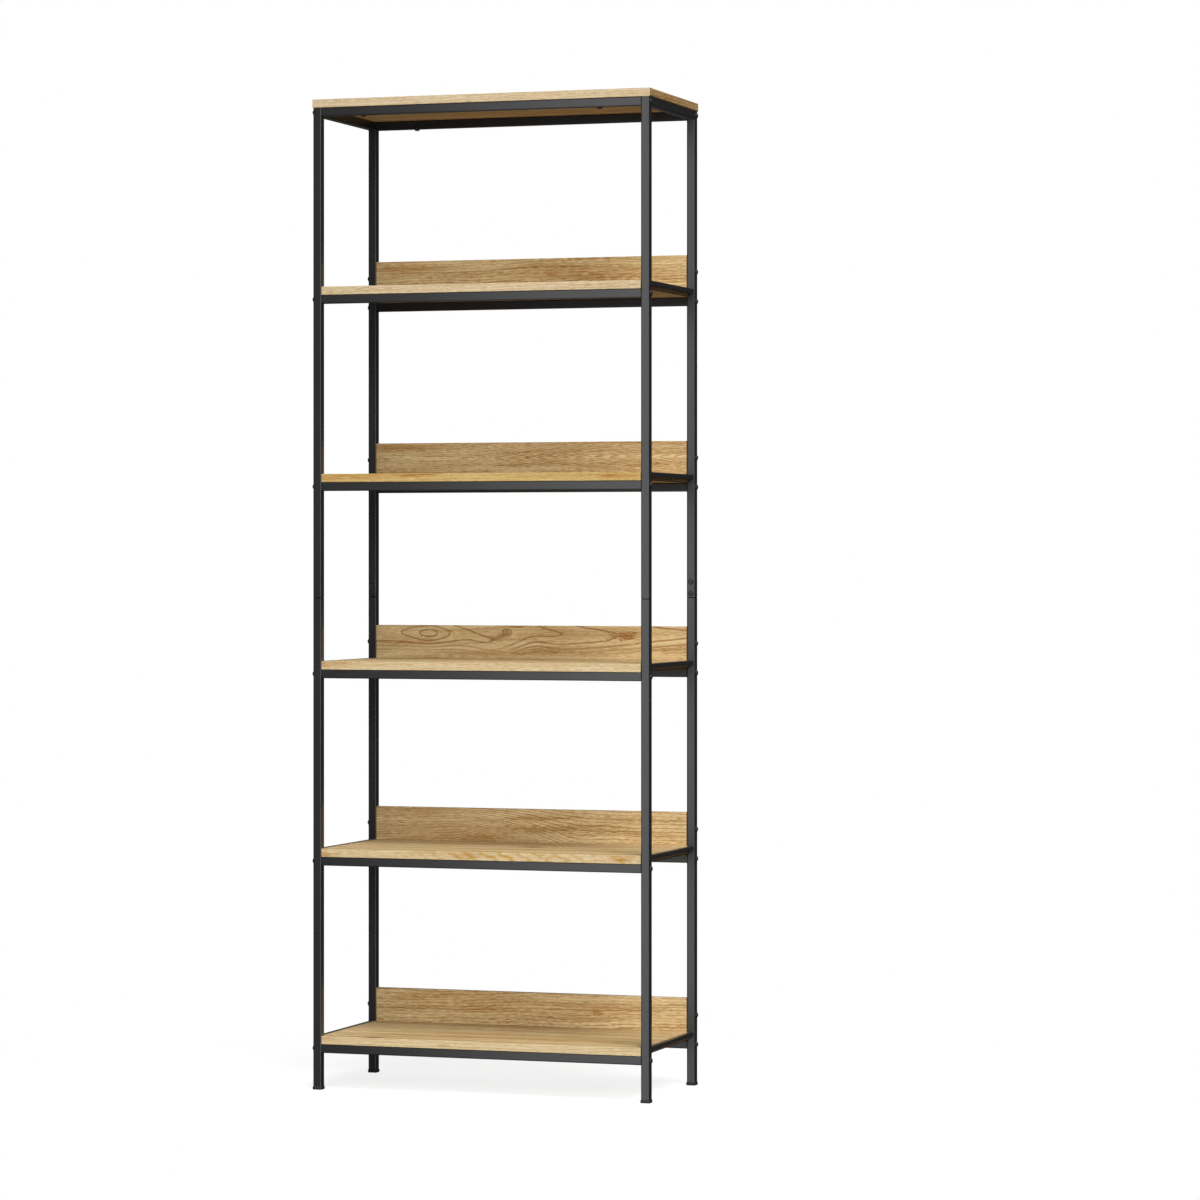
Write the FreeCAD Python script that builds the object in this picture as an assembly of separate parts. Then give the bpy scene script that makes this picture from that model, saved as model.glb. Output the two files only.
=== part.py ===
import FreeCAD, Part
import os
from math import cos, pi, sin

from FreeCAD import Vector

# Open display bookshelf: a bolted frame of square steel tube that carries wooden boards.
# Millimetres. The origin is on the floor under the middle of the frame.
# +X points to the right, +Y to the back and +Z up.

# Overall sizes
overall_height = 1800.0
frame_width = 640.0
frame_depth = 298.0
shelf_count = 5
lowest_board_bottom = 83.0

# Square tube of the posts and rails, and the slimmer, slightly flat tube of the side bars
tube = 16.0
tube_wall = 1.2
tube_corner = 2.0
bar_width = 10.0
bar_height = 8.0
bar_wall = 1.0
bar_corner = 1.2

# Boards
board_thickness = 15.0
board_gap = 0.4
edge_round = 0.6
panel_overhang = 1.0
backboard_height = 62.0

# Seam between the lower and upper posts, with the sleeve inside it
seam_rise = 115.0
seam_bevel = 0.6
sleeve_wall = 1.5
sleeve_gap = 0.15
seam_screw_first = 8.0
seam_screw_spacing = 21.0
seam_screw_count = 2
seam_screw_reach = 3.0
sleeve_end_margin = 16.0

# Foot caps
foot_height = 6.0
foot_flare = 1.2
foot_bevel = 1.0
foot_plug_length = 14.0
foot_plug_gap = 0.2

# Button-head machine screws and the threaded plugs in the rail ends
screw_diameter = 6.0
head_diameter = 10.0
head_height = 2.8
head_rim = 0.8
head_bulge = 0.62
socket_width = 4.0
socket_depth = 1.6
hole_gap = 0.2
thread_gap = 0.05
nut_length = 10.0
nut_gap = 0.1
backboard_bite = 25.0

# Screws that hold the top panel down from below
panel_screw_diameter = 4.5
panel_screw_inset = 79.0
panel_screw_bite = 10.0

# Places worked out from the sizes above
frame_top = overall_height - board_thickness
level_pitch = (frame_top - lowest_board_bottom) / shelf_count
shelf_bottoms = [lowest_board_bottom + level_pitch * i for i in range(shelf_count)]
rail_tops = shelf_bottoms + [frame_top]
seam_height = shelf_bottoms[shelf_count // 2] + board_thickness + seam_rise
seam_screw_rises = [seam_screw_first + seam_screw_spacing * i for i in range(seam_screw_count)]
seam_screw_heights = [seam_height + rise for rise in seam_screw_rises]
sleeve_length = 2 * (max(seam_screw_rises) + sleeve_end_margin)
rail_screw_heights = [top - tube / 2 for top in rail_tops]
backboard_bottoms = [bottom + board_thickness for bottom in shelf_bottoms]
backboard_screw_heights = [bottom + backboard_height / 2 for bottom in backboard_bottoms]
post_x = frame_width / 2 - tube / 2
post_y = frame_depth / 2 - tube / 2
backboard_front = frame_depth / 2 - tube
backboard_y = backboard_front + board_thickness / 2
rail_length = frame_width - 2 * tube
side_length = frame_depth - 2 * tube
bar_inset = (tube - bar_width) / 2
panel_screw_x = rail_length / 2 - panel_screw_inset
sides = {"left": -1, "right": 1}
ends = {"front": -1, "rear": 1}
tolerance = 1e-6


def edges_at_height(shape, height):
    return [edge for edge in shape.Edges if all(abs(v.Z - height) < tolerance for v in edge.Vertexes)]


def upright_edges(shape):
    return [edge for edge in shape.Edges if abs(edge.tangentAt(edge.FirstParameter).z) > 1 - tolerance]


def rounded_prism(size, length, corner, depth=None):
    """A prism standing on the origin, square unless it has its own depth, with its upright edges rounded."""
    depth = depth or size
    prism = Part.makeBox(size, depth, length, Vector(-size / 2, -depth / 2, 0))
    if corner <= 0:
        return prism
    return prism.makeFillet(corner, upright_edges(prism))


def tube_bore(size, wall, corner, length, gap=0.0):
    """What fills the inside of a square tube, less a gap all round."""
    inset = wall + gap
    return rounded_prism(size - 2 * inset, length, corner - inset)


def square_tube(size, wall, corner, length):
    return rounded_prism(size, length, corner).cut(tube_bore(size, wall, corner, length))


def lay_along_x(shape):
    return shape.rotated(Vector(0, 0, 0), Vector(0, 1, 0), 90)


def lay_along_y(shape):
    return shape.rotated(Vector(0, 0, 0), Vector(1, 0, 0), -90)


def facing(shape, place, direction):
    """A copy of a shape, moved to a place and turned so that its +Z points in a direction."""
    copy = shape.copy()
    copy.Placement = FreeCAD.Placement(place, FreeCAD.Rotation(Vector(0, 0, 1), direction))
    return copy


def hexagon_prism(across_flats, length):
    radius = across_flats / 2 / cos(pi / 6)
    corners = [Vector(radius * cos(i * pi / 3), radius * sin(i * pi / 3), 0) for i in range(6)]
    return Part.Face(Part.makePolygon(corners + corners[:1])).extrude(Vector(0, 0, length))


def button_screw(diameter, length):
    """A screw whose head sits on the origin, with a domed top, a hexagon socket and its shank below."""
    head_radius = head_diameter / 2
    crown_radius = (head_radius + socket_width / 2) / 2
    crown_rise = (head_height - head_rim) * head_bulge
    crown_mid = Vector((head_radius + crown_radius) / 2, 0, head_rim + crown_rise)
    foot = Vector(0, 0, 0)
    edge = Vector(head_radius, 0, 0)
    rim = Vector(head_radius, 0, head_rim)
    crown = Vector(crown_radius, 0, head_height)
    top = Vector(0, 0, head_height)
    profile = Part.Wire([
        Part.makeLine(foot, edge),
        Part.makeLine(edge, rim),
        Part.Arc(rim, crown_mid, crown).toShape(),
        Part.makeLine(crown, top),
        Part.makeLine(top, foot),
    ])
    head = Part.Face(profile).revolve(Vector(0, 0, 0), Vector(0, 0, 1), 360)
    shank = Part.makeCylinder(diameter / 2, length, Vector(0, 0, -length))
    socket = hexagon_prism(socket_width, socket_depth).translated(Vector(0, 0, head_height - socket_depth))
    return head.fuse(shank).removeSplitter().cut(socket)


def side_screw_places(end):
    """Each side screw of a post: its offset in y from the post's axis, and its height."""
    places = [(0, height) for height in rail_screw_heights]
    if end == "rear":
        places += [(backboard_y - post_y, height) for height in backboard_screw_heights]
    return places


def post_half(end, bottom, top, seam_end):
    """One half of a post, beveled where it meets the other half, with the holes for its side screws."""
    outer = rounded_prism(tube, top - bottom, tube_corner).translated(Vector(0, 0, bottom))
    outer = outer.makeChamfer(min(seam_bevel, tube_wall / 2), edges_at_height(outer, seam_end))
    inner = tube_bore(tube, tube_wall, tube_corner, top - bottom).translated(Vector(0, 0, bottom))
    radius = screw_diameter / 2 + hole_gap
    holes = [
        Part.makeCylinder(radius, tube, Vector(-tube / 2, y, height), Vector(1, 0, 0))
        for y, height in side_screw_places(end)
        if bottom < height < top
    ]
    return outer.cut([inner] + holes)


def lower_post(side, end):
    half = post_half(end, foot_height, seam_height, seam_height)
    return half.translated(Vector(sides[side] * post_x, ends[end] * post_y, 0))


def upper_post(side, end):
    half = post_half(end, seam_height, frame_top, seam_height)
    radius = screw_diameter / 2 + hole_gap
    inward = Vector(0, -ends[end], 0)
    holes = [Part.makeCylinder(radius, tube / 2, Vector(0, 0, z), inward) for z in seam_screw_heights]
    return half.cut(holes).translated(Vector(sides[side] * post_x, ends[end] * post_y, 0))


def splice_sleeve(side, end):
    """An inner tube across the seam, tapped for the seam screws on its inward side."""
    size = tube - 2 * (tube_wall + sleeve_gap)
    corner = tube_corner - tube_wall - sleeve_gap
    sleeve = square_tube(size, sleeve_wall, corner, sleeve_length)
    sleeve = sleeve.translated(Vector(0, 0, seam_height - sleeve_length / 2))
    radius = screw_diameter / 2 + thread_gap
    inward = Vector(0, -ends[end], 0)
    taps = [Part.makeCylinder(radius, tube / 2, Vector(0, 0, z), inward) for z in seam_screw_heights]
    return sleeve.cut(taps).translated(Vector(sides[side] * post_x, ends[end] * post_y, 0))


def foot_cap(side, end):
    """A flared cap on the floor, with a plug that holds it in the post."""
    flare = rounded_prism(tube + 2 * foot_flare, foot_height, tube_corner + foot_flare)
    rims = edges_at_height(flare, 0) + edges_at_height(flare, foot_height)
    flare = flare.makeChamfer(foot_bevel, rims)
    plug = tube_bore(tube, tube_wall, tube_corner, foot_plug_length, foot_plug_gap)
    cap = flare.fuse(plug.translated(Vector(0, 0, foot_height)))
    return cap.translated(Vector(sides[side] * post_x, ends[end] * post_y, 0))


def cross_rail(end, top):
    """A rail from post to post, with its upper face at a given height."""
    rail = lay_along_x(square_tube(tube, tube_wall, tube_corner, rail_length))
    return rail.translated(Vector(-rail_length / 2, ends[end] * post_y, top - tube / 2))


def top_cross_rail(end):
    """The rail under the top panel, drilled upwards for the panel's screws."""
    radius = panel_screw_diameter / 2 + hole_gap
    holes = [
        Part.makeCylinder(radius, tube, Vector(x, ends[end] * post_y, frame_top - tube))
        for x in (-panel_screw_x, panel_screw_x)
    ]
    return cross_rail(end, frame_top).cut(holes)


def side_bar(side, shelf_bottom):
    """A slim bar from the front post to the rear post, its top level with the shelf board's top."""
    outer = rounded_prism(bar_width, side_length, bar_corner, bar_height)
    inner_corner = bar_corner - bar_wall
    inner = rounded_prism(bar_width - 2 * bar_wall, side_length, inner_corner, bar_height - 2 * bar_wall)
    height = shelf_bottom + board_thickness - bar_height / 2
    return lay_along_y(outer.cut(inner)).translated(Vector(sides[side] * post_x, -side_length / 2, height))


def top_side_rail(side):
    rail = lay_along_y(square_tube(tube, tube_wall, tube_corner, side_length))
    return rail.translated(Vector(sides[side] * post_x, -side_length / 2, frame_top - tube / 2))


def board(width, depth, height):
    """A board standing on the origin, with its upper and lower edges slightly rounded."""
    plain = Part.makeBox(width, depth, height, Vector(-width / 2, -depth / 2, 0))
    rims = edges_at_height(plain, 0) + edges_at_height(plain, height)
    return plain.makeFillet(edge_round, rims)


def shelf_board(bottom):
    """A board as deep as the frame, between the side bars, notched round the four posts."""
    width = frame_width - 2 * (bar_inset + bar_width + board_gap)
    notch = tube + 2 * board_gap
    posts = [
        Part.makeBox(notch, notch, board_thickness, Vector(x - notch / 2, y - notch / 2, 0))
        for x in (-post_x, post_x)
        for y in (-post_y, post_y)
    ]
    return board(width, frame_depth, board_thickness).cut(posts).translated(Vector(0, 0, bottom))


def backboard(bottom):
    """A low board on edge between the rear posts, flush with their front faces and drilled at both ends."""
    width = rail_length - 2 * board_gap
    plank = board(width, board_thickness, backboard_height).translated(Vector(0, backboard_y, bottom))
    height = bottom + backboard_height / 2
    radius = screw_diameter / 2 + thread_gap
    pilot = Part.makeCylinder(radius, backboard_bite)
    pilots = [
        facing(pilot, Vector(s * rail_length / 2, backboard_y, height), Vector(-s, 0, 0))
        for s in sides.values()
    ]
    return plank.cut(pilots)


def top_panel():
    """The panel that lies over the posts and rails, with blind holes for the screws from below."""
    width = frame_width + 2 * panel_overhang
    depth = frame_depth + 2 * panel_overhang
    panel = board(width, depth, board_thickness).translated(Vector(0, 0, frame_top))
    radius = panel_screw_diameter / 2 + thread_gap
    pilots = [
        Part.makeCylinder(radius, panel_screw_bite, Vector(x, y, frame_top))
        for x in (-panel_screw_x, panel_screw_x)
        for y in (-post_y, post_y)
    ]
    return panel.cut(pilots)


def rail_screws():
    """One screw at each end of each rail, through the post from its outer side."""
    screw = button_screw(screw_diameter, tube + nut_length)
    return [
        facing(screw, Vector(s * frame_width / 2, e * post_y, z), Vector(s, 0, 0))
        for s in sides.values()
        for e in ends.values()
        for z in rail_screw_heights
    ]


def backboard_screws():
    """One screw at each end of each backboard, through the rear post from its outer side."""
    screw = button_screw(screw_diameter, tube + backboard_bite)
    return [
        facing(screw, Vector(s * frame_width / 2, backboard_y, z), Vector(s, 0, 0))
        for s in sides.values()
        for z in backboard_screw_heights
    ]


def seam_screws():
    """The screws above each seam, through the post's inner face into the sleeve."""
    screw = button_screw(screw_diameter, tube_wall + sleeve_gap + sleeve_wall + seam_screw_reach)
    return [
        facing(screw, Vector(s * post_x, e * (post_y - tube / 2), z), Vector(0, -e, 0))
        for s in sides.values()
        for e in ends.values()
        for z in seam_screw_heights
    ]


def panel_screws():
    """Two screws up through each top rail into the panel."""
    screw = button_screw(panel_screw_diameter, tube + panel_screw_bite)
    return [
        facing(screw, Vector(x, y, frame_top - tube), Vector(0, 0, -1))
        for x in (-panel_screw_x, panel_screw_x)
        for y in (-post_y, post_y)
    ]


def rail_end_nuts():
    """A threaded plug inside each end of each rail, flush with the rail's end."""
    plug = tube_bore(tube, tube_wall, tube_corner, nut_length, nut_gap)
    thread = Part.makeCylinder(screw_diameter / 2 + thread_gap, nut_length)
    nut = plug.cut(thread)
    return [
        facing(nut, Vector(s * rail_length / 2, e * post_y, z), Vector(-s, 0, 0))
        for s in sides.values()
        for e in ends.values()
        for z in rail_screw_heights
    ]


def pieces():
    """Every node of the bookshelf by name, as one solid or as a group of like solids."""
    found = {"top_panel": top_panel()}
    for number, bottom in enumerate(shelf_bottoms, 1):
        found[f"shelf_board_{number}"] = shelf_board(bottom)
        found[f"backboard_{number}"] = backboard(backboard_bottoms[number - 1])
        for end in ends:
            found[f"{end}_rail_{number}"] = cross_rail(end, bottom)
        for side in sides:
            found[f"{side}_side_bar_{number}"] = side_bar(side, bottom)
    for end in ends:
        found[f"top_{end}_rail"] = top_cross_rail(end)
    for side in sides:
        found[f"top_{side}_rail"] = top_side_rail(side)
        for end in ends:
            found[f"{side}_{end}_lower_post"] = lower_post(side, end)
            found[f"{side}_{end}_upper_post"] = upper_post(side, end)
            found[f"{side}_{end}_splice_sleeve"] = splice_sleeve(side, end)
            found[f"{side}_{end}_foot_cap"] = foot_cap(side, end)
    found["rail_screws"] = Part.makeCompound(rail_screws())
    found["backboard_screws"] = Part.makeCompound(backboard_screws())
    found["seam_screws"] = Part.makeCompound(seam_screws())
    found["panel_screws"] = Part.makeCompound(panel_screws())
    found["rail_end_nuts"] = Part.makeCompound(rail_end_nuts())
    return found


os.makedirs("parts", exist_ok=True)
for node, shape in pieces().items():
    shape.exportStep(f"parts/{node}.step")
    state = "valid" if shape.isValid() else "invalid"
    print(node, len(shape.Solids), "solids", round(shape.Volume), "cubic mm", state)
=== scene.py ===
# %% [markdown]
# # A display bookshelf in oak and charcoal steel
# The real object is a tall open bookshelf: a bolted frame of square steel tube, painted charcoal,
# with a light oak top panel and five oak shelves. Its shapes are exact solids made beforehand,
# so this lesson only loads them and gives each one the finish of the real piece.
# Loading comes first, because every later step asks the frame where things are.

# %% Load the fixed frame
import math

import bmesh
import bpy
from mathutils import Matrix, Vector


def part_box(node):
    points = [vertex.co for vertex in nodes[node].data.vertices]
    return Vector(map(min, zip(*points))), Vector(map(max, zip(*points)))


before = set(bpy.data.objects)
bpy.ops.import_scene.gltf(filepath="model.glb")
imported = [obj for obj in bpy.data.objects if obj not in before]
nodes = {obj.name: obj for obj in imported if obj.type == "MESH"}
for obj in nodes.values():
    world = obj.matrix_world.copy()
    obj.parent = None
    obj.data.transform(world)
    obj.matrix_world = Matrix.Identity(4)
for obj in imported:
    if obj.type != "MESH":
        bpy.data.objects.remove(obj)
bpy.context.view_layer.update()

mm_per_m = 1000

# %% [markdown]
# ## Shader maths in plain Python
# A finish such as oak needs a lot of small sums: how far along the grain, how near to a growth ring.
# Nodes could be placed and linked one by one, but then the sum is hard to read.
# Instead a small class wraps a socket, and ordinary arithmetic on it adds the Math nodes.

# %% A socket that does arithmetic
def plug(socket, value):
    """Links a wrapped socket to an input, or sets a plain value on it."""
    if isinstance(value, Wire):
        socket.id_data.links.new(value.socket, socket)
    else:
        socket.default_value = value


class Wire:
    """An output socket, on which arithmetic adds Math nodes."""

    def __init__(self, socket):
        self.socket = socket

    def math(self, operation, *terms):
        node = self.socket.id_data.nodes.new("ShaderNodeMath")
        node.operation = operation
        for socket, term in zip(node.inputs, terms):
            plug(socket, term)
        return Wire(node.outputs[0])

    def __add__(self, other):
        return self.math("ADD", self, other)

    def __radd__(self, other):
        return self.math("ADD", other, self)

    def __sub__(self, other):
        return self.math("SUBTRACT", self, other)

    def __rsub__(self, other):
        return self.math("SUBTRACT", other, self)

    def __mul__(self, other):
        return self.math("MULTIPLY", self, other)

    def __rmul__(self, other):
        return self.math("MULTIPLY", other, self)

    def __truediv__(self, other):
        return self.math("DIVIDE", self, other)

    def __pow__(self, other):
        return self.math("POWER", self, other)

    def __gt__(self, other):
        return self.math("GREATER_THAN", self, other)

    def __lt__(self, other):
        return self.math("LESS_THAN", self, other)


print("a wire takes + - * / ** > and <")

# %% [markdown]
# ## One way to add any other node
# Textures, mixes and shaders are added by one method of a finish. It takes the node's type, its settings
# and what goes into its sockets, and hands back the outputs by name. Each of the nodes used most could be
# spelled out wherever it is needed, but a short method for each keeps the finishes below readable.

# %% A finish and its nodes
class Finish:
    """The node tree of a material or of the world."""

    def __init__(self, owner):
        owner.use_nodes = True
        self.owner = owner
        self.tree = owner.node_tree
        self.tree.nodes.clear()

    def node(self, kind, settings=(), sockets=()):
        """Adds a node, sets its settings and then its sockets, by name or place, to values or links."""
        made = self.tree.nodes.new("ShaderNode" + kind)
        for name, value in dict(settings).items():
            setattr(made, name, value)
        for key, value in dict(sockets).items():
            named = [s for s in made.inputs if s.enabled and s.name == key]
            plug(named[0] if named else made.inputs[key], value)
        return {s.name: Wire(s) for s in made.outputs if s.enabled}

    def noise(self, vector, scale=1.0, detail=2.0, roughness=0.5):
        """Noise around 0.5 with so many blobs per unit, and finer ones as detail and roughness grow."""
        sockets = {"Vector": vector, "Scale": scale, "Detail": detail, "Roughness": roughness}
        return self.node("TexNoise", {}, sockets)["Fac"]

    def point(self, x, y, z):
        return self.node("CombineXYZ", {}, {"X": x, "Y": y, "Z": z})["Vector"]

    def parts(self, vector):
        split = self.node("SeparateXYZ", {}, {"Vector": vector})
        return split["X"], split["Y"], split["Z"]

    def ease(self, value, start, end):
        """0 up to start, 1 from end on, and a smooth step between them."""
        sockets = {"Value": value, "From Min": start, "From Max": end}
        return self.node("MapRange", {"interpolation_type": "SMOOTHSTEP"}, sockets)["Result"]

    def tint(self, amount, first, second):
        """The first colour where the amount is 0, the second where it is 1, and a mix between."""
        sockets = {"Factor": amount, "A": first, "B": second}
        return self.node("Mix", {"data_type": "RGBA"}, sockets)["Result"]

    def bump(self, height, strength, distance):
        sockets = {"Height": height, "Strength": strength, "Distance": distance}
        return self.node("Bump", {}, sockets)["Normal"]

    def surface(self, shader):
        kind = "OutputWorld" if isinstance(self.owner, bpy.types.World) else "OutputMaterial"
        self.node(kind, {}, {"Surface": shader})
        return self.owner


print("a finish adds:", [name for name in vars(Finish) if not name.startswith("_")])

# %% [markdown]
# ## Colours as they look on screen
# Colours are easiest to compare as screen levels from 0 to 255, but light adds up in linear shares.
# A node could convert each colour while rendering. Python does it here, once for each colour.

# %% Screen colours
full_level, knee, knee_slope, toe, gamma, opaque = 255, 0.04045, 12.92, 0.055, 2.4, 1.0


def linear_light(level):
    """A screen level from 0 to 255 as a share of full light, by the usual curve of screens."""
    share = level / full_level
    return share / knee_slope if share <= knee else ((share + toe) / (1 + toe)) ** gamma


def screen_colour(red, green, blue):
    """A colour as it looks on screen, from 0 to 255, in linear light."""
    return linear_light(red), linear_light(green), linear_light(blue), opaque


print("a mid grey in linear light:", round(linear_light(full_level / 2), 3))

# %% [markdown]
# ## Where a point lies on its veneer
# The boards are faced with oak veneer whose grain runs along each face. An image could be wrapped round
# each board, but a sum on the point's own place needs no unwrapping and has no seams.
# On the ends the grain follows the edge band, front to back; everywhere else it runs from side to side.

# %% Veneer coordinates
end_sheet, flat_sheet, far_sheet = 3.1, 5.3, 7.7
facing = 0.5
noise_middle = 0.5


def veneer(finish, node, seed):
    """A point's metres along and across the grain, its sheet, and if it is on an end, flat or below."""
    low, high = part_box(node)
    x, y, z = finish.parts(finish.node("TexCoord")["Object"])
    x, y, z = x - low[0], y - low[1], z - low[2]
    nx, ny, nz = finish.parts(finish.node("NewGeometry")["Normal"])
    on_end = nx * nx > facing
    on_flat = nz * nz > facing
    below = nz < -facing
    far_side = nx + ny + nz > 0
    along = x + on_end * (y - x)
    across = z + on_flat * (y - z)
    sheet = seed + on_end * end_sheet + on_flat * flat_sheet + far_side * far_sheet
    return (along, across, sheet), on_end, on_flat, below


def grain(finish, place, length, width, detail=2.0, roughness=0.5):
    """Noise around 0, drawn out along the grain in blobs of about this length and width in metres."""
    along, across, sheet = place
    blobs = finish.point(along / length, across / width, sheet)
    return finish.noise(blobs, detail=detail, roughness=roughness) - noise_middle


print("grain runs along x on the faces and along y on the ends")

# %% [markdown]
# ## Rubbed edges
# Hands and boxes rub the rounded edges first, on wood as on paint, so both finishes need to know where
# these are. A bevel node could find them, but it is slow. The faces of boards and tubes are square to an
# axis, so the normal alone tells: on a rounded edge two of its parts are large at once.

# %% Rounded edges
edge_part = 0.5
edge_gain = 1 / edge_part ** 2


def round_edges(finish):
    """1 on the middle of a rounded edge, where two squared parts of the normal are a half, 0 on a face."""
    nx, ny, nz = finish.parts(finish.node("NewGeometry")["Normal"])
    x2, y2, z2 = nx * nx, ny * ny, nz * nz
    return (x2 * y2 + y2 * z2 + z2 * x2) * edge_gain


print("gain on rounded edges:", edge_gain)

# %% [markdown]
# ## Growth rings
# Where a log is sliced, its yearly rings show as long brown lines. A picture of lines would be one way
# to get them. Here the number of rings that lie over a point of the sheet is summed up instead, and
# wherever that sum is a whole number a line shows: then an arch, a sweep or a knot is just one more term
# of the sum. Dividing by the slope, from two neighbouring points, keeps every line about as thick.
# A style says how far a line's core and rim reach, how faint the faintest ring is, how steady the line
# runs, its share of brown and over which distance across the sheet it fades in.

# %% Ring lines
drift_size = (0.25, 0.055)
ripple_size = (0.07, 0.009)
probe = 0.0005
ring_shuffle = 17.0
stroke_size, stroke_range = (0.030, 0.005), (-0.20, 0.12)
everywhere = (-1.0, 0.0)
fine_lines = dict(core=0.0003, rim=0.0015, faintest=0.3, steady=0.2, share=0.75, fade=everywhere)
clear_lines = dict(core=0.0003, rim=0.0016, faintest=0.5, steady=0.6, share=0.65, fade=everywhere)
swept_lines = dict(core=0.0002, rim=0.0012, faintest=0.5, steady=0.6, share=0.80, fade=everywhere)
bold_lines = dict(core=0.0005, rim=0.0023, faintest=0.8, steady=0.7, share=0.85, fade=(0.0, 0.036))
slant_lines = dict(core=0.0008, rim=0.0040, faintest=0.7, steady=0.6, share=1.00, fade=everywhere)


def wander(finish, place, drift, ripple):
    """No ring runs quite straight: rings lost or gained by slow drift and by short ripples."""
    return grain(finish, place, *drift_size) * drift + grain(finish, place, *ripple_size) * ripple


def hump(place, x, z, half_length, half_width):
    """1 at a point of the sheet, fading out round it in an oval."""
    along, across, sheet = place
    u, v = (along - x) / half_length, (across - z) / half_width
    return along.math("EXPONENT", 0 - u * u - v * v)


def ring_lines(finish, place, rings, style):
    """Brown lines where the ring count is a whole number, some rings fainter than others."""
    along, across, sheet = place
    count = rings(finish, place)
    rise = rings(finish, (along + probe, across, sheet)) - count
    climb = rings(finish, (along, across + probe, sheet)) - count
    slope = (rise * rise + climb * climb) ** 0.5 / probe
    nearest = count.math("ROUND", count)
    distance = count.math("ABSOLUTE", count - nearest) / slope
    number = nearest + sheet * ring_shuffle
    chance = finish.node("TexWhiteNoise", {"noise_dimensions": "1D"}, {"W": number})["Value"]
    strength = style["faintest"] + chance * (1 - style["faintest"])
    stroke = finish.ease(grain(finish, place, *stroke_size), *stroke_range)
    strength = strength * (style["steady"] + stroke * (1 - style["steady"]))
    strength = strength * finish.ease(across, *style["fade"]) * style["share"]
    return (1 - finish.ease(distance, style["core"], style["rim"])) * strength


print("bold ring lines reach", round(bold_lines["rim"] * mm_per_m, 1), "mm to each side")

# %% [markdown]
# ## The figures of the boards
# Most boards show nearly straight lines. One backboard was cut through the top of a ring, so its lines
# close into arches. On another they sweep down, and on a front band they stand at a slant.
# Each could be drawn line by line, but a function that gives the ring count of a point needs only a few
# distances read off such a board.

# %% Straight, arched, swept and slanted rings
plain_pitch, plain_rise, plain_wander = 0.006, 0.02, (4.0, 0.4)
arch_axis, arch_pitch, arch_tip, arch_start, arch_run = 0.033, 0.0032, 1.2, 0.16, 0.030
arch_wander = (2.0, 0.9)
sweep_pitch, sweep_start, sweep_end, sweep_rings, sweep_height = 0.003, 0.15, 0.42, 16.7, 0.085
sweep_wander = (2.0, 0.4)
slant_pitch, slant_lean, slant_wander = 0.034, 2.0, (1.0, 1.0)


def plain_rings(finish, place):
    """Rings one above the other, rising a little to the right."""
    along, across, sheet = place
    return (across - along * plain_rise) / plain_pitch + wander(finish, place, *plain_wander)


def arched_rings(finish, place):
    """Rings that close into narrow arches, one behind the other, open to the right."""
    along, across, sheet = place
    offset = (across - arch_axis) / arch_pitch
    arch = (offset * offset + arch_tip ** 2) ** 0.5
    run = along.math("MAXIMUM", along - arch_start, 0.0) / arch_run
    return arch - run + wander(finish, place, *arch_wander)


def swept_rings(finish, place):
    """Close rings on the left that sweep down and spread out, more so near the lower edge."""
    along, across, sheet = place
    sweep = finish.ease(along, sweep_start, sweep_end) * sweep_rings
    count = across / sweep_pitch + sweep * (1 - across / sweep_height)
    return count + wander(finish, place, *sweep_wander)


def slanted_rings(finish, place):
    """Rings that cross a front band at a slant."""
    along, across, sheet = place
    return (along + across * slant_lean) / slant_pitch + wander(finish, place, *slant_wander)


print("straight rings every", round(plain_pitch * mm_per_m, 1), "mm")

# %% [markdown]
# ## The knotty figure
# On the middle backboard the saw ran along the top of a ring, so its lines are tongues that lie one in
# the other, pushed up and down along the board, with a large eye, a pin knot and a swirl among them.
# Every line could be drawn as a curve, but each knot is one hump in the ring count, so a few places
# will do.

# %% Knotty rings
knot_axis, knot_reach_up, knot_reach_down, knot_most_up = 0.0508, 0.00995, 0.0203, 0.93
knot_start, knot_first, knot_run = 0.1126, 0.12, 0.1309
unbounded = 1.0
bends = (
    ((0.2321, knot_axis, 0.0442, unbounded), 0.0139),
    ((0.3153, knot_axis, 0.0308, unbounded), -0.0077),
    ((0.4015, knot_axis, 0.1200, unbounded), 0.0044),
)
eye_place, eye_rings = (0.1051, 0.0459, 0.0372, 0.0171), 1.53
pin_place, pin_rings = (0.2590, 0.0514, 0.0120, 0.0057), 1.3
swirl_place, swirl_size, swirl_rings = (0.490, 0.0430, 0.028, 0.009), (0.022, 0.006), 6.0
knot_wander = (0.5, 0.25)


def knotty_rings(finish, place):
    """Tongues one in the other, bent up and down, with an eye, a pin knot and a swirl."""
    along, across, sheet = place
    offset = across - knot_axis
    for spot, depth in bends:
        offset = offset + hump(place, *spot) * depth
    above = (offset.math("MAXIMUM", offset, 0.0) / knot_reach_up) ** 2
    below = (offset.math("MINIMUM", offset, 0.0) / knot_reach_down) ** 2
    run = along.math("MAXIMUM", along - knot_start, 0.0) / knot_run
    tongue = knot_first + run + below + above / (1 + above / knot_most_up)
    tongue = tongue - hump(place, *eye_place) * eye_rings - hump(place, *pin_place) * pin_rings
    swirl = hump(place, *swirl_place) * grain(finish, place, *swirl_size) * swirl_rings
    return tongue + swirl + wander(finish, place, *knot_wander)


print("the eye of the knotty board lies", round(eye_place[0] * mm_per_m), "mm from its left end")
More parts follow.
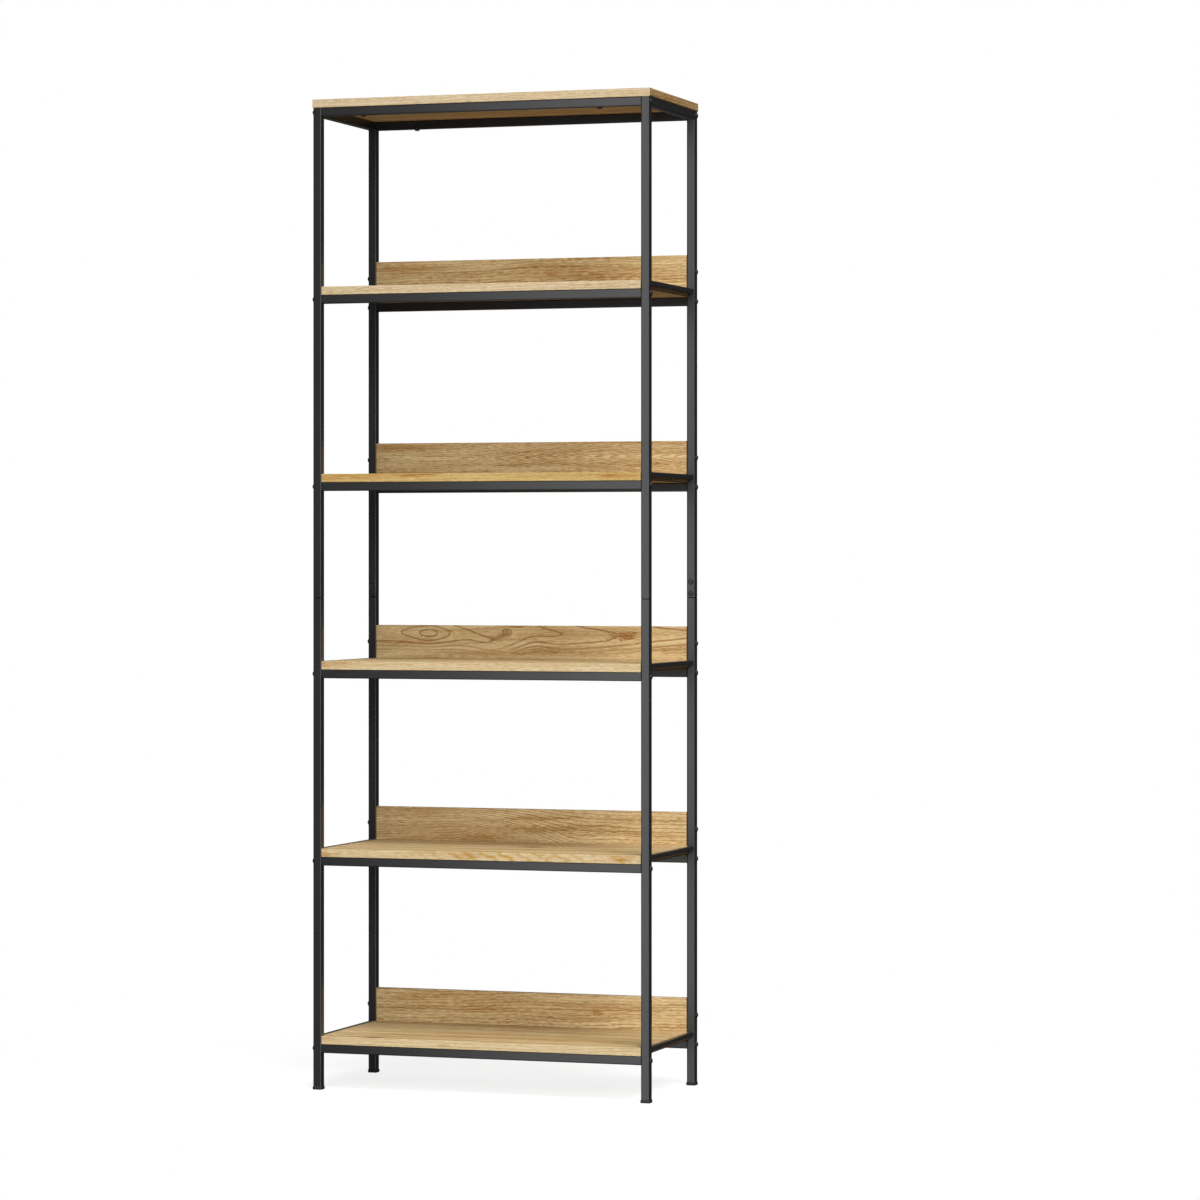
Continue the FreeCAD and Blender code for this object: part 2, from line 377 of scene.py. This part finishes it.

# %% [markdown]
# ## Oak
# Light oak is golden, with brown flecks and fibres, broad soft streaks, darker smears and open pores.
# One flat picture of it would repeat on every board. Here each layer is its own noise, stretched along
# the rings, and together they choose a tone between a dark and a pale colour of the wood.
# The bands on the long edges are paler and calmer than the faces, and the ends are redder; the undersides
# get the same redder colours as painted warm shade.

# %% Oak colours and layers
face_colours = screen_colour(150, 102, 20), screen_colour(229, 206, 157)
band_colours = screen_colour(171, 140, 82), screen_colour(212, 192, 155)
cream_colours = screen_colour(171, 142, 88), screen_colour(213, 195, 164)
honey_colours = screen_colour(158, 116, 24), screen_colour(202, 178, 120)
light_colours = screen_colour(184, 155, 102), screen_colour(216, 196, 158)
# Redder colours for the ends; on the undersides the same colours are painted warm shade.
end_and_painted_underside_colours = screen_colour(158, 110, 50), screen_colour(225, 190, 135)
amber = screen_colour(167, 114, 44)
gold = screen_colour(176, 130, 26)
knot_brown = screen_colour(136, 82, 28)
pore_brown = screen_colour(112, 76, 42)
# A dark brown for a line along the lower edge of the ends.
end_line_brown = screen_colour(36, 20, 8)
mean_tone, flat_tone = 0.65, 0.05
streaks, streak_gain, flat_streak_gain = (0.30, 0.014, 1.0), 1.1, 1.8
flat_stretch, band_calm = 0.6, 0.5
clouds, cloud_gain = (0.12, 0.008), 0.6
flecks, fleck_gain = (0.014, 0.0009, 2.0, 0.6), 2.7
fibres, fibre_gain = (0.08, 0.0008), 1.3
smudges, smudge_range = (0.030, 0.0016, 3.0), (-0.06, 0.10)
smear_least, smear_more, stain_share = 0.15, 0.75, 0.7
pores, pore_range, pore_share = (0.008, 0.0004, 1.0), (0.10, 0.20), 0.4
band_ring_share = 0.5
end_line_range, end_line_share = (0.0014, 0.0030), 0.8
oak_roughness, fibre_roughness, pore_roughness, rub_roughness = 0.60, -0.3, 0.15, -0.1
oak_specular, edge_rub = 0.2, 0.2
fibre_height, oak_bump, oak_bump_depth = 0.4, 0.3, 0.0002

print("oak layers: streaks, clouds, flecks, fibres, smears, rings and pores")

# %% [markdown]
# ## One board's oak
# A sheet's flecks and fibres lie along its rings, so the ring count also serves as the distance across
# for them. Then come the colours of the face, the end, the painted warm shade of the undersides and the
# band, the smears, the ring lines, the pores, the rubbed edges and a dark line along the lower edge of the
# ends.
# Fibres and pores also change the roughness a little and are felt as a shallow bump.

# %% Oak finish
def oak(node, upright, seed, rings=plain_rings, lines=fine_lines, flecked=1.0, edge_colours=band_colours,
        smears=(), stains=(), top_stains=(), slants=()):
    """Oak for one board. An upright board has its faces in front and behind, any other on top and below."""
    finish = Finish(bpy.data.materials.new("oak_" + node))
    place, on_end, on_flat, below = veneer(finish, node, seed)
    along, across, sheet = place
    front = (1 - on_flat) * (1 - on_end)
    band = on_flat if upright else front
    laid = (along * (1 - on_flat * flat_stretch), plain_rings(finish, place) * plain_pitch, sheet)

    fibre = grain(finish, laid, *fibres)
    tone = mean_tone + on_flat * flat_tone + fibre * fibre_gain
    streaking = (streak_gain + on_flat * (flat_streak_gain - streak_gain)) * (1 - band * band_calm)
    for layer, gain in ((streaks, streaking), (clouds, cloud_gain), (flecks, fleck_gain * flecked)):
        tone = tone + grain(finish, laid, *layer) * gain
    wood = finish.tint(tone, *face_colours)
    # Ends take the redder colours; undersides take them too, as painted warm shade.
    wood = finish.tint(on_end + below, wood, finish.tint(tone, *end_and_painted_underside_colours))
    wood = finish.tint(band, wood, finish.tint(tone, *edge_colours))

    smudge = smear_least + finish.ease(grain(finish, laid, *smudges), *smudge_range) * smear_more
    slant = ring_lines(finish, place, slanted_rings, slant_lines) if slants else 0.0
    for spots, share, colour in (
        (smears, smudge * front, amber),
        (stains, stain_share * front, knot_brown),
        (top_stains, on_flat - below, knot_brown),
        (slants, slant * front, gold),
    ):
        for spot in spots:
            wood = finish.tint(hump(place, *spot) * share, wood, colour)

    ring = ring_lines(finish, place, rings, lines) * (1 - band * band_ring_share)
    wood = finish.tint(ring, wood, knot_brown)
    pore = finish.ease(grain(finish, laid, *pores), *pore_range)
    wood = finish.tint(pore * pore_share, wood, pore_brown)
    rub = round_edges(finish)
    wood = finish.tint(rub * edge_rub, wood, edge_colours[1])
    # The ends darken to a dark brown along their lower edge.
    end_line = on_end * (1 - finish.ease(across, *end_line_range))
    wood = finish.tint(end_line * end_line_share, wood, end_line_brown)
    rough = oak_roughness + fibre * fibre_roughness + pore * pore_roughness + rub * rub_roughness
    shader = finish.node("BsdfPrincipled", {}, {
        "Base Color": wood,
        "Roughness": rough,
        "Specular IOR Level": oak_specular,
        "Normal": finish.bump(fibre * fibre_height - pore, oak_bump, oak_bump_depth),
    })["BSDF"]
    return finish.surface(shader)


def wear(node, finish):
    """Puts a finish on a solid of the frame."""
    for slot in nodes[node].material_slots:
        slot.material = finish


print("oak roughness:", oak_roughness)

# %% [markdown]
# ## A finish for each board
# No two boards of a real shelf come from the same place of the log, so each gets its own sheet number.
# The middle backboard is the knotty one, the one above it has arches that open to the right, and on the
# one below it the rings sweep down. The fourth shelf's front band is honey coloured, the second's shows
# slanted rings. A smear, a stain or a patch of slanted rings is given by its place on the sheet and its
# half length and half width.

# %% Boards
first_sheet = 11
special = {
    "backboard_1": {
        "smears": ((0.07, 0.044, 0.040, 0.008), (0.21, 0.027, 0.060, 0.008), (0.43, 0.033, 0.110, 0.011)),
    },
    "backboard_2": {
        "rings": swept_rings, "lines": swept_lines,
        "smears": ((0.21, 0.010, 0.060, 0.011), (0.575, 0.018, 0.012, 0.004)),
    },
    "backboard_3": {
        "rings": knotty_rings, "lines": bold_lines, "flecked": 0.7,
        "smears": ((0.05, 0.030, 0.080, 0.004), (0.488, 0.043, 0.034, 0.010), (0.30, 0.012, 0.200, 0.004)),
        "stains": (
            (0.236, 0.0375, 0.012, 0.0035), (0.250, 0.0440, 0.010, 0.0045), (0.259, 0.0500, 0.007, 0.0035)),
    },
    "backboard_4": {
        "rings": arched_rings, "lines": clear_lines,
        "smears": ((0.03, 0.056, 0.050, 0.005),),
    },
    "backboard_5": {
        "smears": ((0.06, 0.046, 0.060, 0.011), (0.40, 0.034, 0.150, 0.010)),
    },
    "shelf_board_1": {
        "seed": 31.0, "edge_colours": light_colours,
        "smears": ((-0.02, 0.010, 0.040, 0.006), (0.24, 0.006, 0.010, 0.003)),
        "top_stains": ((0.10, 0.010, 0.020, 0.012),),
    },
    "shelf_board_2": {
        "slants": ((0.36, 0.008, 0.170, 0.020), (0.57, 0.008, 0.020, 0.020)),
        "smears": (
            (0.01, 0.004, 0.022, 0.004), (0.285, 0.008, 0.026, 0.008), (0.575, 0.008, 0.018, 0.005),
            (0.573, 0.009, 0.012, 0.004)),
        "top_stains": ((0.35, 0.165, 0.018, 0.012),),
    },
    "shelf_board_3": {
        "smears": ((0.00, 0.012, 0.050, 0.004), (-0.02, 0.008, 0.040, 0.006)),
    },
    "shelf_board_4": {
        "edge_colours": honey_colours,
        "smears": ((0.04, 0.010, 0.090, 0.008), (0.17, 0.012, 0.060, 0.004), (0.56, 0.009, 0.050, 0.006)),
        "stains": (
            (0.172, 0.0112, 0.018, 0.0018), (0.205, 0.0130, 0.020, 0.0018), (0.555, 0.0095, 0.018, 0.0020)),
    },
    "shelf_board_5": {"edge_colours": cream_colours},
    "top_panel": {"edge_colours": cream_colours},
}
boards = [name for name in nodes if name.startswith(("shelf_board_", "backboard_"))]
for number, name in enumerate(["top_panel"] + sorted(boards), start=first_sheet):
    own = {"seed": float(number), **special.get(name, {})}
    wear(name, oak(name, name.startswith("backboard_"), **own))
print("oak boards:", 1 + len(boards))

# %% [markdown]
# ## Charcoal paint
# The frame is powder coated: a satin charcoal film with a faint orange peel, and a little more shine where
# its rounded corners are rubbed. A plain grey would look like plastic, so the film gets fine specks,
# cloudy patches of gloss and a shallow bump. Each post is two tubes, one on the other, and where they
# meet a thin line round the post is painted black and metallic: painted shade in the joint between them.
# The upper rear rails get duller copies of the film, as painted shade, so the higher one lies, the blacker
# it looks.

# %% Paint finish
paint_colours = screen_colour(23, 23, 24), screen_colour(28, 28, 29)
# Black for the seam line round the posts: painted shade in the joint between the two tubes.
seam_shade_black = screen_colour(8, 8, 8)
speck_scale, speck_range = 1800.0, (0.35, 0.65)
cloud_scale, cloud_detail, peel_scale = 7.0, 3.0, 650.0
film_roughness, cloud_roughness, corner_roughness = 0.29, 0.08, -0.04
film_specular, peel_bump, peel_depth = 0.80, 0.25, 0.0001
# Less shine for the upper rear rails: painted shade, so that they look blacker.
painted_shade_rail_specular = {"rear_rail_3": 0.58, "rear_rail_4": 0.54, "rear_rail_5": 0.38, "top_rear_rail": 0.30}
seam_core, seam_rim = 0.0004, 0.0011
seam_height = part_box("left_front_upper_post")[0][2]


def charcoal_paint(name, specular):
    finish = Finish(bpy.data.materials.new(name))
    place = finish.node("TexCoord")["Object"]
    x, y, z = finish.parts(place)
    speck = finish.ease(finish.noise(place, speck_scale), *speck_range)
    cloud = finish.noise(place, cloud_scale, cloud_detail)
    # The seam line is painted black and metallic, as painted shade in the joint.
    seam = 1 - finish.ease(z.math("ABSOLUTE", z - seam_height), seam_core, seam_rim)
    rough = film_roughness + cloud * cloud_roughness + round_edges(finish) * corner_roughness
    shader = finish.node("BsdfPrincipled", {}, {
        "Base Color": finish.tint(seam, finish.tint(speck, *paint_colours), seam_shade_black),
        "Metallic": seam,
        "Roughness": rough,
        "Specular IOR Level": specular,
        "Normal": finish.bump(finish.noise(place, peel_scale), peel_bump, peel_depth),
    })["BSDF"]
    return finish.surface(shader)


paint = charcoal_paint("charcoal_paint", film_specular)
painted = [name for name in nodes if name.endswith(("_post", "_rail")) or "_side_bar_" in name]
painted += [name for name in nodes if name.startswith(("front_rail_", "rear_rail_"))]
for name in painted:
    # The upper rear rails get their own duller copies of the paint, as painted shade.
    wear(name, charcoal_paint("paint_" + name, painted_shade_rail_specular[name]) if name in painted_shade_rail_specular else paint)
print("painted pieces:", len(painted), "seam at", round(seam_height, 4), "m")

# %% [markdown]
# ## Screws, feet and inner steel
# The button-head screws are blacked, the foot caps are moulded in black plastic with a fine spark texture,
# and the sleeves and nuts inside the tubes are bare steel with drawing lines.
# They are small, so each has just the layers that show on it from close by.

# %% Small finishes
screw_colours = screen_colour(22, 22, 23), screen_colour(46, 46, 48)
screw_mottle, screw_roughness, mottle_roughness = 420.0, 0.28, 0.2
foot_colours = screen_colour(24, 24, 25), screen_colour(36, 36, 37)
foot_spark, foot_scuff, foot_roughness, scuff_roughness = 1500.0, 90.0, 0.45, 0.2
steel_colours = screen_colour(150, 150, 152), screen_colour(186, 187, 190)
drawn_across, drawn_along, steel_roughness, drawn_roughness = 900.0, 20.0, 0.3, 0.15
metal, blotchy = 1.0, 3.0
fine_bump, spark_bump, small_depth = 0.1, 0.3, 0.0001


def blacked_screw():
    finish = Finish(bpy.data.materials.new("blacked_screw"))
    mottle = finish.noise(finish.node("TexCoord")["Object"], screw_mottle, blotchy)
    shader = finish.node("BsdfPrincipled", {}, {
        "Base Color": finish.tint(mottle, *screw_colours),
        "Roughness": screw_roughness + mottle * mottle_roughness,
        "Normal": finish.bump(mottle, fine_bump, small_depth),
    })["BSDF"]
    return finish.surface(shader)


def foot_plastic():
    finish = Finish(bpy.data.materials.new("foot_cap_plastic"))
    place = finish.node("TexCoord")["Object"]
    scuff = finish.noise(place, foot_scuff, blotchy)
    shader = finish.node("BsdfPrincipled", {}, {
        "Base Color": finish.tint(scuff, *foot_colours),
        "Roughness": foot_roughness + scuff * scuff_roughness,
        "Normal": finish.bump(finish.noise(place, foot_spark), spark_bump, small_depth),
    })["BSDF"]
    return finish.surface(shader)


def bare_steel():
    finish = Finish(bpy.data.materials.new("drawn_steel"))
    x, y, z = finish.parts(finish.node("TexCoord")["Object"])
    drawn = finish.noise(finish.point(x * drawn_across, y * drawn_across, z * drawn_along))
    shader = finish.node("BsdfPrincipled", {}, {
        "Base Color": finish.tint(drawn, *steel_colours),
        "Metallic": metal,
        "Roughness": steel_roughness + drawn * drawn_roughness,
        "Normal": finish.bump(drawn, fine_bump, small_depth),
    })["BSDF"]
    return finish.surface(shader)


small_finishes = {
    "_screws": blacked_screw(), "_foot_cap": foot_plastic(), "_sleeve": bare_steel()}
small_finishes["_nuts"] = small_finishes["_sleeve"]
for ending, finish in small_finishes.items():
    small = [name for name in nodes if name.endswith(ending)]
    for name in small:
        wear(name, finish)
    print(finish.name, "on", small)

# %% [markdown]
# ## The camera
# The picture is taken from the front right at about half height, with the camera level, so upright edges
# stay parallel. Tilting the camera to frame the shelf would make them lean.
# A little shift of the lens slides the picture instead, and the shelf then stands left of the middle.

# %% Camera
camera_place = Vector((2.6494, -7.6648, 0.9686))
camera_turn = 0.3308
camera_lens, sensor_width = 133.20, 36.0
camera_shift_x, camera_shift_y = 0.0708, -0.0360
view_depth = 100.0
quarter_turn = math.pi / 2

camera = bpy.data.objects.new("camera", bpy.data.cameras.new("camera"))
bpy.context.scene.collection.objects.link(camera)
camera.location = camera_place
camera.rotation_euler = (quarter_turn, 0.0, camera_turn)
camera.data.sensor_width = sensor_width
camera.data.lens = camera_lens
camera.data.shift_x = camera_shift_x
camera.data.shift_y = camera_shift_y
camera.data.clip_end = view_depth
bpy.context.scene.camera = camera
print("camera at", [round(v, 2) for v in camera_place], "m, lens", camera_lens, "mm")

# %% [markdown]
# ## A white studio
# The background is plain white. The world is white to the camera, and also to reflections that look
# straight back past the shelf, where a narrow white backdrop hangs. Everywhere else it is the dim room
# behind the lamps, because a world that lit everything evenly would wash the dark faces out.

# %% World
room_level, white_level = 0.05, 1.0
backdrop_x, backdrop_y = -math.sin(camera_turn), math.cos(camera_turn)
backdrop_rim, backdrop_full = 0.9975, 0.9995
plain_white = (1.0, 1.0, 1.0, 1.0)

world = Finish(bpy.data.worlds.new("studio"))
rays = world.node("LightPath")
look_x, look_y, look_z = world.parts(world.node("TexCoord")["Generated"])
backdrop = world.ease(look_x * backdrop_x + look_y * backdrop_y, backdrop_rim, backdrop_full)
seen = rays["Is Camera Ray"] + (rays["Is Glossy Ray"] + rays["Is Transmission Ray"]) * backdrop
white = world.node("Background", {}, {"Color": plain_white, "Strength": white_level})["Background"]
room = world.node("Background", {}, {"Color": plain_white, "Strength": room_level})["Background"]
studio = world.node("MixShader", {}, {0: seen, 1: room, 2: white})["Shader"]
bpy.context.scene.world = world.surface(studio)
print("room level", room_level)

# %% [markdown]
# ## The floor
# The shelf stands on a pale floor that fades into the white. A white card would need very strong lamps to
# look white, so the floor gives off a share of that white itself, and the lamps add the rest: where the
# shelf shades it, it dims. It is clear to reflections, which see the studio's white or dark beyond it,
# and to the light of the softbox, whose foot is set below the floor.

# %% Floor
floor_radius, floor_sides = 1.0, 96
floor_fade_start, floor_fade_end = 0.40, 0.98
floor_glow = (0.82, 0.82, 0.82, 1.0)
floor_colours = (0.28, 0.28, 0.28, 1.0), (0.32, 0.32, 0.32, 1.0)
black = (0.0, 0.0, 0.0, 1.0)
floor_mottle, floor_roughness, floor_specular, glow_level = 40.0, 0.9, 0.1, 1.0


def floor_finish():
    finish = Finish(bpy.data.materials.new("pale_floor"))
    place = finish.node("TexCoord")["Object"]
    x, y, z = finish.parts(place)
    rays = finish.node("LightPath")
    seen = rays["Is Camera Ray"] + rays["Is Transmission Ray"]
    card = finish.node("BsdfPrincipled", {}, {
        "Base Color": finish.tint(finish.noise(place, floor_mottle), *floor_colours),
        "Roughness": floor_roughness,
        "Specular IOR Level": floor_specular,
        "Emission Color": finish.tint(seen, black, floor_glow),
        "Emission Strength": glow_level,
    })["BSDF"]
    clear = finish.node("BsdfTransparent")["BSDF"]
    fade = finish.ease((x * x + y * y) ** 0.5, floor_fade_start, floor_fade_end)
    fade = fade.math("MAXIMUM", fade, rays["Is Glossy Ray"] + rays["Is Shadow Ray"])
    return finish.surface(finish.node("MixShader", {}, {0: fade, 1: card, 2: clear})["Shader"])


disc = bmesh.new()
bmesh.ops.create_circle(disc, cap_ends=True, segments=floor_sides, radius=floor_radius)
floor_mesh = bpy.data.meshes.new("floor")
disc.to_mesh(floor_mesh)
disc.free()
floor = bpy.data.objects.new("floor", floor_mesh)
floor.data.materials.append(floor_finish())
bpy.context.scene.collection.objects.link(floor)
print("floor radius", floor_radius, "m")

# %% [markdown]
# ## Soft lamps
# A tall softbox stands in front, and its left edge is what the front faces mirror: they brighten from left
# to right. A key lamp high on the right and a lower one in front light the boards, one behind on the right
# lights their ends, and a low fill behind on the left keeps the back from going black. These four are far
# away, as wide discs of light, so that the lowest shelf gets as much as the top one. Small hard lamps would
# draw sharp shadows. The fill is hidden from reflections, or the undersides would mirror it as white lines.

# %% Lamps
far_disc = math.radians(26)


def softbox(name, left, right, low, high, y, radiance):
    """A flat lamp that stands upright at y and shines towards the back."""
    lamp = bpy.data.lights.new(name, "AREA")
    lamp.shape = "RECTANGLE"
    lamp.size = right - left
    lamp.size_y = high - low
    lamp.energy = radiance * math.pi * lamp.size * lamp.size_y
    piece = bpy.data.objects.new(name, lamp)
    piece.location = ((left + right) / 2, y, (low + high) / 2)
    piece.rotation_euler = (quarter_turn, 0.0, 0.0)
    piece.visible_camera = False
    bpy.context.scene.collection.objects.link(piece)
    return piece


def far_lamp(name, turn, rise, level, mirrored=True):
    """A wide disc of light far away, turned to the right from straight in front and raised, in degrees."""
    lamp = bpy.data.lights.new(name, "SUN")
    lamp.energy = level * math.pi
    lamp.angle = far_disc
    piece = bpy.data.objects.new(name, lamp)
    turn, rise = math.radians(turn), math.radians(rise)
    towards = Vector((math.sin(turn) * math.cos(rise), -math.cos(turn) * math.cos(rise), math.sin(rise)))
    piece.rotation_euler = towards.to_track_quat("Z", "Y").to_euler()
    piece.visible_glossy = mirrored
    bpy.context.scene.collection.objects.link(piece)
    return piece


lamps = [
    softbox("front_softbox", left=-0.50, right=0.90, low=-0.6, high=3.0, y=-1.6, radiance=1.57),
    far_lamp("key_lamp", turn=41, rise=52, level=0.73),
    far_lamp("front_lamp", turn=18, rise=24, level=0.29),
    far_lamp("right_lamp", turn=120, rise=30, level=0.165),
    far_lamp("fill_lamp", turn=-158, rise=3, level=0.45, mirrored=False),
]
print("lamps:", [lamp.name for lamp in lamps])

# %% [markdown]
# ## Done
# The picture's colours are shown as they are, with no film look.

# %% Finish
bpy.context.scene.view_settings.view_transform = "Standard"
